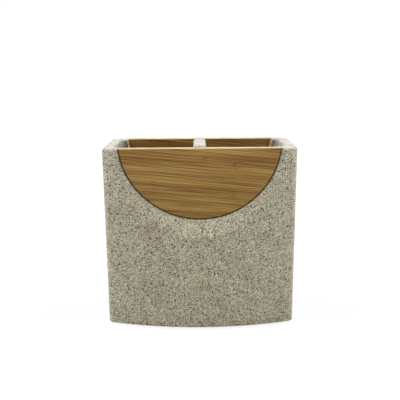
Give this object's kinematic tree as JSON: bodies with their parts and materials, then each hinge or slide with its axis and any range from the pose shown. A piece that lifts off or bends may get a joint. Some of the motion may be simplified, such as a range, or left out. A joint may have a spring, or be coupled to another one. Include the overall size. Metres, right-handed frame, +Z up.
{
  "type": "toothbrush holder",
  "caption": "Free-standing toothbrush holder: thick stone-effect body with side-by-side cells, its bowed front and back each scooped below an inset half-moon bamboo board.",
  "frame": {"origin": "on the surface that the holder stands on, under the middle of its plan", "axes": "+X to the right along the wide side, +Y from front to back, +Z up"},
  "size_m": [0.115, 0.0696, 0.1085],
  "materials": {
    "stone": "matte, sandy, speckled",
    "bamboo": "satin, laminated strips",
    "glue": "cured adhesive",
    "pad": "matte"
  },
  "bodies": {
    "root": {"stone_body": "stone", "front_panel": "bamboo", "back_panel": "bamboo", "front_glue_bed": "glue", "back_glue_bed": "glue", "foot_pad_front_left": "pad", "foot_pad_front_right": "pad", "foot_pad_back_left": "pad", "foot_pad_back_right": "pad"}
  },
  "joints": []
}
